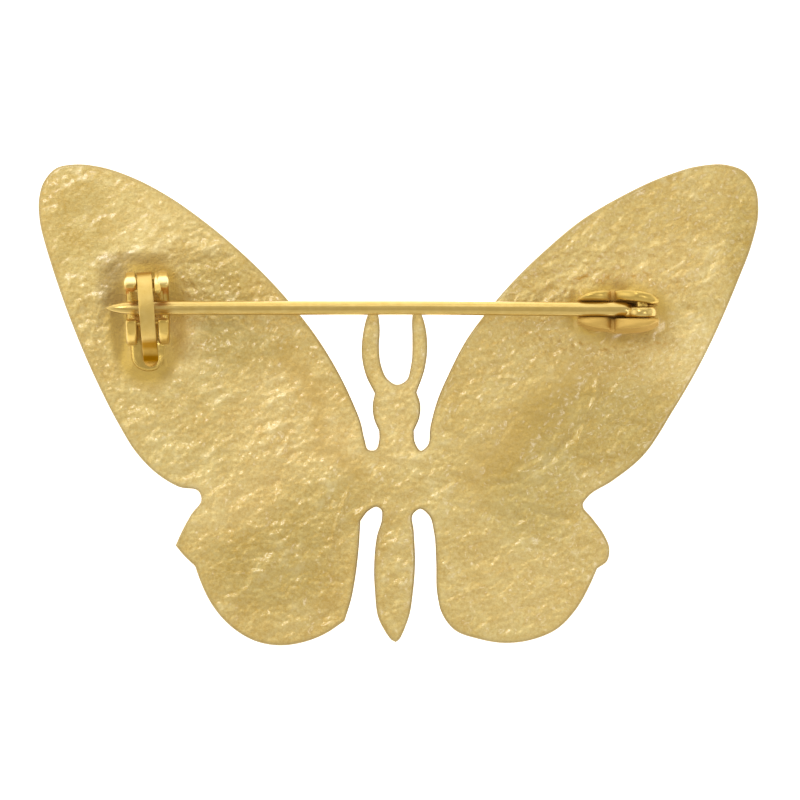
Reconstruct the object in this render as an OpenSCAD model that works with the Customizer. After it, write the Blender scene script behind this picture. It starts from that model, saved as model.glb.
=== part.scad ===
// Butterfly brooch that lies face down, so that the pin on its back shows.
// X runs along the wings, Y from the tail to the antennae, Z up out of the back.
// All lengths are millimetres. The origin is under the middle of the outline, on the table.

/* [Plate] */
// Width of the butterfly over both wing tips
wing_span = 51; // [47:0.5:58]
// Height of the butterfly from the hind wings to the fore wings
wing_height = 34.1; // [31:0.1:40]
// Thickness of the cast plate
plate_thick = 1.3; // [1:0.1:2]
// How far the middle of the plate stands above the wing tips
dome_rise = 2; // [1.6:0.1:3]
// Height of the rounded body on the front
body_relief = 0.5; // [0.3:0.05:0.6]

/* [Pin stem] */
// Diameter of the wire
stem_d = 0.98; // [0.8:0.02:1.1]
// Length of the stem from its rivet to the point
stem_length = 37.85; // [36:0.05:39.5]
// Length over which the wire tapers to its point
point_length = 1.9; // [1:0.1:3]
// Width left at the point
point_d = 0.12; // [0.08:0.01:0.3]
// How far the pin's line lies from the middle of the height, towards the antennae
pin_line = 6.85; // [6:0.05:8]
// Diameter of the flattened eye at the rivet
eye_d = 2.1; // [1.8:0.05:2.3]
// Thickness of the flattened eye
eye_thick = 0.78; // [0.6:0.02:0.9]
// How far the eye sits off the wire's line, towards the tail
eye_shift = 0.28; // [0.1:0.02:0.35]

/* [Hinge] */
// Distance of the rivet from the middle of the span
rivet_x = 17.2; // [16:0.1:18.5]
// Diameter of the rivet
rivet_d = 0.86; // [0.7:0.02:1]
// How far each end of the rivet stands out of its ear
rivet_proud = 0.1; // [0.04:0.02:0.16]
// Radial gap between the eye and the rivet
pivot_clearance = 0.04; // [0.02:0.01:0.08]
// Radial gap between the rivet and the holes in the ears
rivet_seat = 0.015; // [0.01:0.005:0.04]
// Gap between each flat face of the eye or wire and the ear beside it
channel_clearance = 0.06; // [0.03:0.01:0.12]
// Length of the hinge bracket along the pin
bracket_length = 5.75; // [5.4:0.05:6.2]
// Thickness of an ear at the middle of its outward curve
ear_thick = 0.7; // [0.5:0.05:0.9]
// Height of the ear's round top above the rivet
ear_rise = 1.2; // [0.9:0.05:1.4]
// Height of the cradle's top above the middle of the wire
cradle_rise = 0.45; // [0.2:0.05:0.8]
// Width of the notch between ear and cradle
notch_w = 0.5; // [0.3:0.05:0.7]
// Height of the bracket's floor above the back
floor_h = 0.35; // [0.25:0.05:0.5]
// Diameter of the round solder lobe beside the cradle
lobe_d = 2.6; // [2:0.1:3]

/* [Catch] */
// How far the point reaches past the middle of the catch
tip_overhang = 2.9; // [2.4:0.1:3.4]
// Turn of the catch on the plate, in degrees
catch_yaw = 1.5; // [1:0.5:2.5]
// Outer diameter of the catch's ring
ring_d = 5.24; // [4.9:0.02:5.8]
// Thickness of the ring's sheet
ring_thick = 0.42; // [0.35:0.01:0.5]
// Width of each of the ring's two strips
strip_w = 0.78; // [0.6:0.02:1]
// Gap between the two strips
strip_gap = 1.5; // [1.46:0.02:1.7]
// Reach of the short tongue from the ring's right strip towards the strap
tongue_w = 0.22; // [0.14:0.01:0.24]
// Width of the ring's mouth, which lets the wire in
mouth_w = 1.84; // [1.6:0.02:2]
// Height of the catch's foot above the back
foot_h = 0.45; // [0.35:0.05:0.6]
// Width of the foot
foot_w = 2.7; // [2.4:0.05:3]
// Reach of the foot from the pin's line towards the tail
foot_front = 4.5; // [4:0.1:5]
// Reach of the foot from the pin's line towards the antennae
foot_rear = 1.9; // [1.5:0.1:2.2]
// How deep the ring is sunk into its foot
ring_sink = 0.12; // [0.08:0.01:0.2]

/* [Lock] */
// Turn of the lock on the plate, in degrees
lock_yaw = 4.5; // [3.5:0.5:5]
// Radial gap between the lock's sleeve and the ring
lock_clearance = 0.1; // [0.08:0.01:0.16]
// Width of the lock's strap
strap_w = 1.08; // [0.9:0.02:1.12]
// Thickness of the lock's strap
strap_thick = 0.42; // [0.3:0.01:0.5]
// How far the strap's outside lies below the ring's outside
strap_inset = 0.07; // [0.04:0.01:0.12]
// Wall of the sleeve that turns inside the ring
sleeve_thick = 0.35; // [0.25:0.05:0.45]
// Length of the sleeve along the pin
sleeve_w = 2.4; // [2.1:0.05:2.6]
// Reach of the finger tab from the pin's line
tab_reach = 4.1; // [3.8:0.05:4.6]
// Thickness of the finger tab
tab_thick = 0.34; // [0.25:0.01:0.4]

/* [Hidden] */
$fn = 72;
// Colours of the satin casting and of the brighter pin and catch.
satin_gold = [0.84, 0.74, 0.49];
bright_gold = [0.85, 0.68, 0.32];
// Overlap that fuses soldered pieces, and slack that carries a cut past a face.
weld = 0.25;
slack = 1;
// Pieces of curve between two outline points.
steps = 4;

// The outline, as shares of the span and the height in hundredths, counted from the middle.
// The two sides differ, as on the real casting. A CORNER is a sharp point of the outline.
ROUND = 0;
CORNER = 1;
// columns: x share, y share, kind
right_antenna = [
    [-0.2, 4.2, ROUND], [1.0, 5.0, ROUND], [1.7, 8.1, ROUND], [1.9, 13.5, ROUND],
    [1.9, 18.5, ROUND], [2.1, 20.2, ROUND], [2.7, 20.5, ROUND], [3.2, 18.9, ROUND],
    [4.0, 12.5, ROUND], [3.6, 7.3, ROUND], [2.5, 2.6, CORNER]
];
right_neck = [
    [3.0, 0.2, ROUND], [2.9, -2.5, ROUND], [2.1, -5.4, CORNER], [2.3, -7.9, ROUND],
    [3.1, -9.5, ROUND], [3.9, -8.7, ROUND]
];
right_fore_wing = [
    [4.4, -4.6, ROUND], [5.3, 0.6, ROUND], [7.0, 6.6, ROUND], [9.4, 13.5, ROUND],
    [12.6, 20.0, ROUND], [16.1, 26.0, ROUND], [20.4, 32.2, ROUND], [25.5, 38.5, ROUND],
    [31.0, 43.4, ROUND], [36.9, 47.5, ROUND], [41.9, 49.7, ROUND], [45.6, 49.9, ROUND],
    [48.0, 48.6, ROUND], [49.5, 45.5, ROUND], [50.0, 40.1, ROUND], [49.1, 33.5, ROUND],
    [47.2, 26.0, ROUND], [45.1, 18.5, ROUND], [41.9, 8.5, ROUND], [38.0, -1.5, ROUND],
    [33.7, -11.0, ROUND], [29.5, -16.0, ROUND]
];
right_hind_wing = [
    [26.3, -19.1, ROUND], [25.6, -20.6, ROUND], [27.0, -23.7, ROUND], [28.5, -26.8, ROUND],
    [29.3, -29.9, ROUND], [29.0, -32.4, ROUND], [27.6, -34.0, CORNER], [26.6, -37.4, ROUND],
    [24.8, -42.2, ROUND], [22.0, -46.6, ROUND], [18.3, -48.9, ROUND], [14.8, -49.5, ROUND],
    [11.0, -48.6, ROUND], [7.8, -46.8, ROUND], [6.0, -43.3, ROUND], [5.4, -39.7, ROUND],
    [5.2, -32.2, ROUND], [4.9, -26.4, ROUND], [4.2, -22.9, ROUND], [3.0, -21.6, ROUND]
];
abdomen = [
    [2.0, -22.7, ROUND], [2.1, -26.0, ROUND], [2.3, -32.2, ROUND], [2.0, -38.9, ROUND],
    [1.3, -44.7, ROUND], [-0.4, -49.3, ROUND], [-2.6, -45.1, ROUND], [-3.3, -38.5, ROUND],
    [-3.4, -33.3, ROUND], [-3.0, -27.2, ROUND], [-2.3, -23.3, ROUND], [-2.4, -21.8, ROUND]
];
left_hind_wing = [
    [-3.0, -21.2, ROUND], [-4.2, -22.0, ROUND], [-5.3, -24.1, CORNER], [-5.5, -29.1, ROUND],
    [-5.9, -34.7, ROUND], [-6.6, -40.5, ROUND], [-7.5, -44.9, CORNER], [-10.1, -47.5, ROUND],
    [-13.4, -49.4, ROUND], [-16.6, -50.0, ROUND], [-19.9, -49.1, ROUND], [-23.1, -46.3, ROUND],
    [-25.9, -41.6, ROUND], [-27.4, -37.2, ROUND], [-28.3, -33.5, CORNER], [-29.9, -31.2, ROUND],
    [-31.0, -29.2, CORNER], [-30.1, -26.2, ROUND], [-28.8, -22.7, ROUND], [-27.4, -19.5, ROUND],
    [-27.7, -18.1, ROUND]
];
left_fore_wing = [
    [-30.4, -17.1, ROUND], [-33.4, -14.5, ROUND], [-36.4, -10.0, ROUND], [-38.9, -4.0, ROUND],
    [-41.5, 3.5, ROUND], [-44.2, 12.5, ROUND], [-46.7, 22.2, ROUND], [-48.7, 31.4, ROUND],
    [-49.9, 38.5, ROUND], [-50.0, 42.6, ROUND], [-49.3, 46.4, ROUND], [-47.6, 49.2, ROUND],
    [-45.0, 50.0, ROUND], [-41.5, 49.5, ROUND], [-37.0, 47.3, ROUND], [-32.0, 43.4, ROUND],
    [-27.3, 38.5, ROUND], [-22.2, 32.2, ROUND], [-17.9, 26.0, ROUND], [-14.2, 19.7, ROUND],
    [-11.0, 13.3, ROUND], [-8.5, 7.1, ROUND], [-6.5, 1.0, ROUND], [-5.2, -4.0, ROUND]
];
left_neck = [
    [-4.7, -7.3, ROUND], [-4.2, -9.3, ROUND], [-3.2, -9.3, ROUND], [-2.7, -7.3, ROUND],
    [-2.7, -5.4, CORNER], [-3.4, -2.9, ROUND], [-3.6, 0, ROUND], [-3.3, 2.4, CORNER]
];
left_antenna = [
    [-4.5, 6.0, ROUND], [-5.1, 10.0, ROUND], [-4.9, 15.2, ROUND], [-4.3, 18.7, ROUND],
    [-3.8, 20.2, ROUND], [-3.3, 20.3, ROUND], [-2.8, 18.5, ROUND], [-2.6, 16.0, ROUND],
    [-2.7, 11.8, ROUND], [-2.4, 8.1, ROUND], [-1.5, 5.3, ROUND]
];
outline_shares = concat(right_antenna, right_neck, right_fore_wing, right_hind_wing, abdomen,
    left_hind_wing, left_fore_wing, left_neck, left_antenna);

// A smooth curve through the outline points: the direction at a ROUND point is the mean of its
// two sides, the nearer neighbour counting more, and at a CORNER each side keeps its own.
function spot(row) = [row[0] * wing_span / 100, row[1] * wing_height / 100];
function heading(before, here, after) =
    let (a = norm(here - before), b = norm(after - here))
    ((here - before) * b / a + (after - here) * a / b) / (a + b);
function leave(row, before, here, after) =
    row[2] == CORNER ? (after - here) / norm(after - here) : heading(before, here, after);
function arrive(row, before, here, after) =
    row[2] == CORNER ? (here - before) / norm(here - before) : heading(before, here, after);
function blend_spot(p, q, tp, tq, t) =
    let (d = norm(q - p))
    (2 * t * t * t - 3 * t * t + 1) * p + (t * t * t - 2 * t * t + t) * d * tp
    + (3 * t * t - 2 * t * t * t) * q + (t * t * t - t * t) * d * tq;
count = len(outline_shares);
outline = [
    for (i = [0 : count - 1])
        let (
            row = outline_shares[i],
            next = outline_shares[(i + 1) % count],
            o = spot(outline_shares[(i + count - 1) % count]),
            p = spot(row),
            q = spot(next),
            r = spot(outline_shares[(i + 2) % count]),
            tp = leave(row, o, p, q),
            tq = arrive(next, p, q, r)
        )
        for (k = [0 : steps - 1]) blend_spot(p, q, tp, tq, k / steps)
];

// The plate is a cap of a hollow ball. Its top lies on the line between the fore and hind wings
// where the fore wing tips and the hind wings' lowest edges are equally far off, so it rests on
// all four. The farthest edge touches the table.
fore_tip = spot(left_fore_wing[9]);
hind_tip = spot(left_hind_wing[9]);
dome_y = (fore_tip * fore_tip - hind_tip * hind_tip) / (2 * (fore_tip[1] - hind_tip[1]));
reach = max([for (p = outline) norm(p - [0, dome_y])]);
front_r = (reach * reach + dome_rise * dome_rise) / (2 * dome_rise);
back_r = front_r + plate_thick;
dome_z = dome_rise - front_r;
function front_z(x, y) = dome_z + sqrt(front_r * front_r - x * x - (y - dome_y) * (y - dome_y));
function back_z(x, y) = dome_z + sqrt(back_r * back_r - x * x - (y - dome_y) * (y - dome_y));

// Places of the pin's line, the rivet and the catch.
stem_r = stem_d / 2;
catch_x = rivet_x - stem_length + tip_overhang;
ring_r = ring_d / 2;
ring_in = ring_r - ring_thick;
pin_z = back_z(catch_x, pin_line) + foot_h - ring_sink + ring_r;
mouth_angle = asin(mouth_w / ring_d);

// Inner faces of the hinge's channel, measured from the wire's line.
channel_up = stem_r + channel_clearance;
channel_down = eye_shift + eye_thick / 2 + channel_clearance;
// The bracket's walls are arcs in plan. Their middle is counted from the rivet.
wall_bulge = ear_thick + 0.1;
wall_r = bracket_length * bracket_length / (8 * wall_bulge) + wall_bulge / 2;
wall_middle = ear_rise - bracket_length / 2;
// Outer faces of the ears where the rivet comes through.
fall_off = wall_r - sqrt(wall_r * wall_r - wall_middle * wall_middle);
ear_up = channel_up + ear_thick - fall_off;
ear_down = channel_down + ear_thick - fall_off;

// The lock's turn range sets where its strap ends. 0 degrees is straight up, and the strap
// runs over the mouth towards the antennae and on below the pin.
lock_turn = 120;
strap_start = -62;
strap_end = 215;
sleeve_start = 95;
strap_r = ring_r - strap_inset;
sleeve_r = ring_in - lock_clearance;
lock_shift = -0.04;

// A ring wall between two angles that are counted from straight up towards the antennae,
// around an axis along X.
module ring_wall(r_in, r_out, from, to, width) {
    rotate([90, 0, 90])
        rotate([0, 0, 90 - to])
            rotate_extrude(angle = to - from)
                translate([r_in, -width / 2])
                    square([r_out - r_in, width]);
}

// A pointed spindle along Y, the body's rounded form, sunk in the front of the plate.
module body_form(tail, head, half_w) {
    long = head - tail;
    arc_r = (long * long / 4 + half_w * half_w) / (2 * half_w);
    tail_z = front_z(0, tail);
    head_z = front_z(0, head);
    bow = front_z(0, (tail + head) / 2) - (tail_z + head_z) / 2;
    turns = 16;
    translate([0, tail, tail_z + bow + half_w - body_relief])
        rotate([atan2(head_z - tail_z, long) - 90, 0, 0])
            rotate_extrude()
                polygon([
                    [0, 0],
                    for (i = [1 : turns - 1])
                        let (y = long * i / turns)
                        [sqrt(arc_r * arc_r - pow(y - long / 2, 2)) - arc_r + half_w, y],
                    [0, long]
                ]);
}

// The cast plate with the rounded abdomen, chest and head on its front.
module plate() {
    intersection() {
        linear_extrude(height = dome_rise + plate_thick + slack)
            polygon(outline);
        translate([0, dome_y, dome_z])
            difference() {
                rotate([90, 0, 0])
                    sphere(r = back_r, $fn = 240);
                rotate([90, 0, 0])
                    sphere(r = front_r, $fn = 240);
            }
    }
    intersection() {
        union() {
            body_form(-0.485 * wing_height, -0.2 * wing_height, 0.022 * wing_span);
            body_form(-0.25 * wing_height, -0.03 * wing_height, 0.03 * wing_span);
            body_form(-0.07 * wing_height, 0.036 * wing_height, 0.027 * wing_span);
        }
        translate([0, dome_y, dome_z])
            rotate([90, 0, 0])
                sphere(r = back_r - weld, $fn = 240);
    }
}

// Side profile of the hinge bracket in the X-Z plane: a low wall, a round cradle for the wire
// and, past a notch, the ear around the rivet.
module bracket_side() {
    low = back_z(rivet_x, pin_line) - weld;
    left = ear_rise - bracket_length;
    ear_left = -ear_rise - notch_w;
    cradle_r = (ear_left - notch_w - left) / 2;
    cradle_top = pin_z + cradle_rise;
    translate([left, low])
        square([bracket_length, pin_z - stem_d - low]);
    translate([left, low])
        square([2 * cradle_r, cradle_top - cradle_r - low]);
    translate([left + cradle_r, cradle_top - cradle_r])
        circle(r = cradle_r);
    translate([ear_left, low])
        square([ear_rise - ear_left, pin_z - low]);
    translate([0, pin_z])
        circle(r = ear_rise);
    translate([ear_left, pin_z - slack])
        square([-ear_left, slack + 0.6 * ear_rise]);
}

// Plan of the bracket: two outward curved walls and the floor between them.
module bracket_plan() {
    intersection() {
        translate([wall_middle, channel_up + ear_thick - wall_r])
            circle(r = wall_r, $fn = 180);
        translate([wall_middle, wall_r - channel_down - ear_thick])
            circle(r = wall_r, $fn = 180);
        translate([wall_middle - bracket_length / 2, -slack * 3])
            square([bracket_length, slack * 6]);
    }
}

// Hinge bracket, soldered on the right wing.
module hinge_bracket() {
    low = back_z(rivet_x, pin_line) - weld;
    floor_z = back_z(rivet_x - bracket_length / 2, pin_line) + floor_h;
    translate([rivet_x, pin_line, 0])
        difference() {
            intersection() {
                linear_extrude(height = pin_z + ear_rise + slack)
                    bracket_plan();
                translate([0, 3 * slack, 0])
                    rotate([90, 0, 0])
                        linear_extrude(height = 6 * slack)
                            bracket_side();
            }
            // the channel that the eye turns in
            translate([-2 * bracket_length, -channel_down, floor_z])
                cube([4 * bracket_length, channel_down + channel_up, pin_z + ear_rise]);
            // the rivet's holes
            translate([0, 0, pin_z])
                rotate([90, 0, 0])
                    cylinder(r = rivet_d / 2 + rivet_seat, h = 8 * slack, center = true);
        }
    // round lobe of solder beside the cradle
    translate([rivet_x - 3.5, pin_line - 0.9, low])
        cylinder(d = lobe_d, h = floor_z - low - 0.05);
}

// Catch frame, soldered on the left wing: a foot and a ring of two strips, open at the top.
module catch_frame() {
    foot_z = back_z(catch_x, pin_line) + foot_h;
    low = back_z(catch_x, pin_line) - weld - 0.1;
    tip_r = 0.42 * foot_w;
    translate([catch_x, pin_line, 0])
        rotate([0, 0, catch_yaw]) {
            difference() {
                translate([0, 0, low])
                    linear_extrude(height = foot_z - low)
                        hull() {
                            translate([-foot_w / 2, -foot_front / 2])
                                square([foot_w, foot_front / 2 + foot_rear]);
                            translate([0, tip_r - foot_front])
                                circle(r = tip_r);
                        }
                // the hollow that the lock's strap turns in
                translate([0, 0, pin_z])
                    rotate([0, 90, 0])
                        cylinder(r = ring_r, h = strip_gap, center = true);
            }
            translate([0, 0, pin_z]) {
                for (side = [-1, 1])
                    translate([side * (strip_gap + strip_w) / 2, 0, 0])
                        ring_wall(ring_in, ring_r, mouth_angle, 360 - mouth_angle, strip_w);
                // short tongue beside the strap, rooted in the right strip
                translate([(strip_gap + strip_w / 2 - tongue_w) / 2, 0, 0])
                    ring_wall(ring_in + 0.05, ring_r - 0.05, mouth_angle + 4, 80,
                        strip_w / 2 + tongue_w);
            }
        }
}

module butterfly() {
    color(satin_gold) {
        plate();
        hinge_bracket();
        catch_frame();
    }
}

// Rivet through the ears and the eye, with chamfered ends that stand just proud.
module hinge_rivet() {
    r = rivet_d / 2;
    long = ear_up + ear_down + 2 * rivet_proud;
    chamfer = 0.12;
    color(bright_gold)
        translate([rivet_x, pin_line + ear_up + rivet_proud, pin_z])
            rotate([90, 0, 0])
                rotate_extrude()
                    polygon([
                        [0, 0], [r - chamfer, 0], [r, chamfer],
                        [r, long - chamfer], [r - chamfer, long], [0, long]
                    ]);
}

// Pin stem: a round wire with a point at one end and a flattened eye at the other.
module pin_stem() {
    wire_start = sqrt(pow(eye_d / 2, 2) - stem_r * stem_r) - 0.08;
    color(bright_gold)
        translate([rivet_x, pin_line, pin_z])
            difference() {
                union() {
                    rotate([0, -90, 0])
                        rotate_extrude()
                            polygon([
                                [0, wire_start],
                                [stem_r, wire_start],
                                [stem_r, stem_length - point_length],
                                [0.82 * stem_r, stem_length - 0.6 * point_length],
                                [0.5 * stem_r, stem_length - 0.25 * point_length],
                                [point_d / 2, stem_length],
                                [0, stem_length]
                            ]);
                    translate([0, -eye_shift, 0])
                        rotate([90, 0, 0])
                            cylinder(d = eye_d, h = eye_thick, center = true);
                }
                rotate([90, 0, 0])
                    cylinder(r = rivet_d / 2 + pivot_clearance, h = 4 * eye_thick, center = true);
            }
}

// Lock that turns in the ring: a strap over the mouth, a sleeve and a spoon-shaped tab.
module catch_lock() {
    strap_in = strap_r - strap_thick;
    sleeve_in = sleeve_r - sleeve_thick;
    // the tab bends out of the strap in a hollow curve, level at its end
    start_y = strap_r * sin(strap_start);
    start_z = strap_r * cos(strap_start);
    tab_r = tab_reach + start_y + 0.25;
    tab_drop = asin((tab_reach + start_y) / tab_r);
    color(bright_gold)
        translate([catch_x, pin_line, pin_z])
            rotate([0, 0, lock_yaw])
                translate([lock_shift, 0, 0]) {
                    ring_wall(strap_in, strap_r, strap_start, strap_end, strap_w);
                    ring_wall(sleeve_in, strap_r, sleeve_start, strap_end, strap_w);
                    ring_wall(sleeve_in, sleeve_r, sleeve_start, strap_end, sleeve_w);
                    intersection() {
                        translate([0, -tab_reach, start_z + tab_r * cos(tab_drop)])
                            ring_wall(tab_r - tab_thick / 2, tab_r + tab_thick / 2,
                                180 - tab_drop - 12, 180, strap_w);
                        translate([0, 0, -ring_r])
                            linear_extrude(height = 2 * ring_r)
                                union() {
                                    translate([-strap_w / 2, strap_w / 2 - tab_reach])
                                        square([strap_w, tab_reach]);
                                    translate([0, strap_w / 2 - tab_reach])
                                        circle(d = strap_w);
                                }
                    }
                }
}

butterfly();
hinge_rivet();
pin_stem();
catch_lock();
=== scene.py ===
import math

import bmesh
import bpy
import numpy as np
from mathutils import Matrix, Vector, kdtree
from mathutils.geometry import delaunay_2d_cdt


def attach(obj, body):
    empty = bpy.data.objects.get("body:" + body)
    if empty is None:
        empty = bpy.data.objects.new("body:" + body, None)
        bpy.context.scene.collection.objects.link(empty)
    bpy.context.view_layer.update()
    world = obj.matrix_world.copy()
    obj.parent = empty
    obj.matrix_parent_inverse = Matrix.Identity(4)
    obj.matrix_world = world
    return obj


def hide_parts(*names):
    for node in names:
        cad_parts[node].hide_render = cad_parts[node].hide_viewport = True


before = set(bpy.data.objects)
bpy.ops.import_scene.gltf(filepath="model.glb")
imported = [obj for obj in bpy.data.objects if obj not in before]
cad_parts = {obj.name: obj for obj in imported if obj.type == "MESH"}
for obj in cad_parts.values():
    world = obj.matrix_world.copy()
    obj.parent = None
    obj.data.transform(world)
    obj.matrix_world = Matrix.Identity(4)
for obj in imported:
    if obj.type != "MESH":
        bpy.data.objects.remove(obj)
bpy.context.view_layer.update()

MM = 0.001


# View, table and light.
# The brooch lies face down on a white light table, inside a soft tent, and is seen from straight
# above through a long lens. The tent is brightest beyond the wings and at the left.
picture_width = 56.68 * MM
plate_level = 1.3 * MM
lens_height = 1.5
film_width = 36
camera = bpy.data.objects.new("camera", bpy.data.cameras.new("camera"))
camera.data.sensor_width = film_width
camera.data.lens = film_width * lens_height / picture_width
camera.data.clip_start, camera.data.clip_end = 0.05, 20
camera.location = (0.10 * MM, 0.35 * MM, plate_level + lens_height)
bpy.context.scene.collection.objects.link(camera)
bpy.context.scene.camera = camera
bpy.context.scene.view_settings.view_transform = "Standard"


def linear(colour):
    """Linear RGBA of an sRGB hex colour."""
    parts = [int(colour[i:i + 2], 16) / 255 for i in (1, 3, 5)]
    return [c / 12.92 if c <= 0.04045 else ((c + 0.055) / 1.055) ** 2.4 for c in parts] + [1]


def fill(tree, node, inputs):
    """Sets a node's inputs to values, or links them to outputs. A node stands for its first."""
    for key, value in inputs.items():
        if isinstance(value, bpy.types.Node):
            value = value.outputs[0]
        if isinstance(value, bpy.types.NodeSocket):
            tree.links.new(value, node.inputs[key])
        else:
            node.inputs[key].default_value = value


def add(tree, kind, inputs=None, **settings):
    """Adds a node with its settings, and fills its inputs with values or with outputs."""
    made = tree.nodes.new(kind)
    for name, value in settings.items():
        setattr(made, name, value)
    fill(tree, made, inputs or {})
    return made


def new_material(name):
    """A material, its node tree, the shader in it and the place on the piece."""
    made = bpy.data.materials.new(name)
    made.use_nodes = True
    tree = made.node_tree
    place = add(tree, "ShaderNodeTexCoord").outputs["Object"]
    return made, tree, tree.nodes["Principled BSDF"], place


def soft_light(name, spot, size, glow, aim=(0, 0, 0)):
    """A rectangular soft light at a spot, turned to an aim, with a given brightness."""
    lamp = bpy.data.objects.new(name, bpy.data.lights.new(name, "AREA"))
    lamp.data.shape = "RECTANGLE"
    lamp.data.size, lamp.data.size_y = size
    lamp.data.energy = glow * math.pi * size[0] * size[1]
    lamp.location = spot
    way = Vector(aim) - Vector(spot)
    lamp.rotation_euler = way.to_track_quat("-Z", "Y").to_euler()
    bpy.context.scene.collection.objects.link(lamp)


soft_light("sweep_beyond_the_wings", (0, 0.60, 0.12), (1.20, 0.24), 1.05, aim=(0, 0, 0.12))
soft_light("tent_beyond_the_wings", (0, 0.46, 0.40), (0.90, 0.26), 1.15)
soft_light("tent_before_the_tail", (0, -0.50, 0.30), (0.90, 0.40), 0.36)
soft_light("tent_at_the_left", (-0.62, 0, 0.30), (0.60, 0.40), 1.20)
soft_light("tent_at_the_right", (0.62, 0, 0.30), (0.60, 0.40), 0.45)
soft_light("lamp_beyond_the_wings", (-0.30, 0.25, 0.70), (0.10, 0.08), 30)
soft_light("lamp_before_the_tail", (0.31, -0.16, 0.73), (0.09, 0.07), 21)

sky = bpy.data.worlds.new("pale_studio")
bpy.context.scene.world = sky
sky.use_nodes = True
fill(sky.node_tree, sky.node_tree.nodes["Background"], {
    "Color": linear("#F6EFDE"), "Strength": 0.65})

# Matt white acrylic of a light table: it glows a little, so shadows on it stay faint.
white_acrylic, tree, surface, _ = new_material("white_acrylic")
fill(tree, surface, {
    "Base Color": linear("#F4F4F2"), "Roughness": 0.7,
    "Emission Color": linear("#FFFFFF"), "Emission Strength": 0.95})
table_half = 1.6
table = bpy.data.objects.new("table", bpy.data.meshes.new("table"))
table.data.from_pydata(
    [(x * table_half, y * table_half, 0) for x, y in ((-1, -1), (1, -1), (1, 1), (-1, 1))],
    [], [(0, 1, 2, 3)])
table.data.materials.append(white_acrylic)
bpy.context.scene.collection.objects.link(table)


# The casting.
# The butterfly itself: one thin domed plate of zinc alloy, cast from a crumpled-foil pattern,
# tumbled and satin plated. Its back is all wrinkles, with smooth pools where parts are soldered.
height, span, plate, dome, relief = 34.1 * MM, 51 * MM, 1.3 * MM, 2 * MM, 0.5 * MM
casting_rim, edge_step, back_step, face_step = 0.16 * MM, 0.16 * MM, 0.13 * MM, 0.34 * MM
sharp_corner = math.radians(28)

# The dome is a piece of a ball's skin. It stands highest over span_middle.
ball, span_middle = 178.568 * MM, 7.89978 * MM
ball_middle = dome - ball

# The abdomen, chest and head on the front: tail end and head end as shares of the height, and
# half width as a share of the span.
body_forms = (-0.485, -0.2, 0.022), (-0.25, -0.03, 0.03), (-0.07, 0.036, 0.027)


def front_level(x, y):
    return ball_middle + np.sqrt(ball ** 2 - x ** 2 - (y - span_middle) ** 2)


def back_level(x, y):
    return ball_middle + np.sqrt((ball + plate) ** 2 - x ** 2 - (y - span_middle) ** 2)


def face_level(x, y):
    """The front with the rounded abdomen, chest and head standing out of it."""
    level = front_level(x, y)
    for tail, head, half in body_forms:
        tail, head, half = tail * height, head * height, half * span
        long = head - tail
        bow = (long ** 2 / 4 + half ** 2) / (2 * half)
        along = np.clip(y - tail - long / 2, -long / 2, long / 2)
        thick = np.sqrt(bow ** 2 - along ** 2) - bow + half
        round_off = np.sqrt(np.maximum(thick ** 2 - x ** 2, 0))
        level = np.minimum(level, front_level(x, y) - np.maximum(round_off - half + relief, 0))
    return level


def bends(way):
    """How sharply a loop bends at each point, from the runs that lead on from its points."""
    back = np.roll(way, 1, 0)
    return np.abs(np.arctan2(
        back[:, 0] * way[:, 1] - back[:, 1] * way[:, 0], (back * way).sum(1)))


def casting_outline():
    """The outline of the CAD plate: the border of its faces that look down at the table,
    without the points that only cut a straight side."""
    copy = bmesh.new()
    copy.from_mesh(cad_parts["butterfly"].data)
    bmesh.ops.remove_doubles(copy, verts=copy.verts, dist=0.001 * MM)
    down = {f for f in copy.faces if f.normal.z < -0.05}
    after = {}
    for face in down:
        for corner in face.loops:
            if not any(f in down for f in corner.edge.link_faces if f != face):
                after[corner.vert.index] = (corner.link_loop_next.vert.index, corner.vert.co.xy)
    loops = []
    while after:
        here, loop = next(iter(after)), []
        while here in after:
            here, spot = after.pop(here)
            loop.append(tuple(spot))
        loops.append(np.array(loop))
    copy.free()
    longest = max(loops, key=lambda loop: np.ptp(loop[:, 0]))[::-1]
    apart = np.hypot(*(longest - np.roll(longest, 1, 0)).T) > 0.02 * MM
    longest = longest[apart]
    return longest[bends(np.roll(longest, -1, 0) - longest) > math.radians(0.2)]


def even_loop(loop, step):
    """A closed loop with points a step apart, curved through its corners unless they are sharp."""
    ahead = np.roll(loop, -1, 0) - loop
    long = np.hypot(*ahead.T)
    way = ahead / long[:, None]
    back = np.roll(way, 1, 0)
    sharp = bends(way)[:, None] > sharp_corner
    before = np.roll(long, 1)[:, None]
    mean = (back * long[:, None] + way * before) / (before + long[:, None])
    mean /= np.hypot(*mean.T)[:, None]
    leave = np.where(sharp, way, mean)
    arrive = np.roll(np.where(sharp, back, mean), -1, 0)
    points = []
    for p, q, a, b, d in zip(loop, np.roll(loop, -1, 0), leave, arrive, long):
        count = max(1, round(d / step))
        for t in np.arange(count) / count:
            points.append((2 * t ** 3 - 3 * t ** 2 + 1) * p + (t ** 3 - 2 * t ** 2 + t) * d * a
                          + (3 * t ** 2 - 2 * t ** 3) * q + (t ** 3 - t ** 2) * d * b)
    return np.array(points)


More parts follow.
